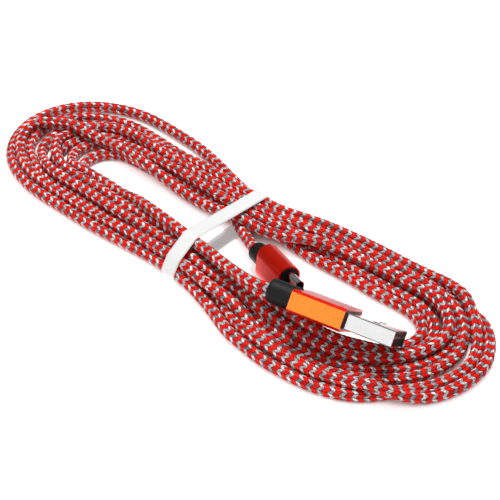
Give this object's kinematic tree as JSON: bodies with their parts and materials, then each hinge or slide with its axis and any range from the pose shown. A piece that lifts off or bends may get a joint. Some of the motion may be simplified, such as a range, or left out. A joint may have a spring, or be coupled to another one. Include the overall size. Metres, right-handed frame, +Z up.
{
  "type": "charging cable",
  "caption": "Red and grey braided charging cable with a flat USB-A plug and a small oval USB-C plug, coiled into a long hank held by a white band.",
  "frame": {"origin": "centre of the bounding box on the surface the hank rests on", "axes": "X along the hank's long axis towards the end the plugs point to, Y across the hank, Z up"},
  "size_m": [0.178, 0.0605, 0.0183],
  "materials": {
    "braid": "two-colour braided sleeve, bright red with silver-grey V marks, satin",
    "band": "white flat strip, slightly satin",
    "red_metal": "anodised red aluminium, fine blasted grain with polished chamfers",
    "plated_steel": "bright nickel plating",
    "spring_steel": "plain steel",
    "contact_gold": "gold-plated contacts",
    "wire_insulation": "soft coloured insulation",
    "board": "green solder mask",
    "black_plastic": "matt black moulded plastic",
    "mould_plastic": "grey inner mould"
  },
  "bodies": {
    "cable": {"cord_hank": "braid", "cord_lead_a": "braid", "cord_lead_c": "braid", "tie_band": "band", "a_shell": "plated_steel", "a_tongue": "black_plastic", "a_contact_1": "contact_gold", "a_contact_2": "contact_gold", "a_contact_3": "contact_gold", "a_contact_4": "contact_gold", "a_mould": "mould_plastic", "a_housing": "red_metal", "a_collar": "black_plastic", "a_crimp": "spring_steel", "a_wire_1": "wire_insulation", "a_wire_2": "wire_insulation", "a_wire_3": "wire_insulation", "a_wire_4": "wire_insulation", "c_shell": "plated_steel", "c_insulator": "black_plastic", "c_contacts_top": "contact_gold", "c_contacts_bottom": "contact_gold", "c_latch_plate": "spring_steel", "c_board": "board", "c_insert": "black_plastic", "c_mould": "mould_plastic", "c_housing": "red_metal", "c_collar": "black_plastic", "c_crimp": "spring_steel", "c_wire_1": "wire_insulation", "c_wire_2": "wire_insulation", "c_wire_3": "wire_insulation", "c_wire_4": "wire_insulation"},
    "latch_left": {"c_latch_left": "spring_steel"},
    "latch_right": {"c_latch_right": "spring_steel"}
  },
  "joints": [
    {"name": "latch_left_flex", "type": "hinge", "parent": "cable", "child": "latch_left", "pos_m": [0.03195, -0.00722, 0.00462], "axis": [0.3984, 0.8977, -0.1879], "range_deg": [0, 1.6], "stiffness_Nm_per_rad": 0.00002},
    {"name": "latch_right_flex", "type": "hinge", "parent": "cable", "child": "latch_right", "pos_m": [0.03134, -0.00553, 0.01139], "axis": [-0.3984, -0.8977, 0.1879], "range_deg": [0, 1.6], "stiffness_Nm_per_rad": 0.00002}
  ]
}
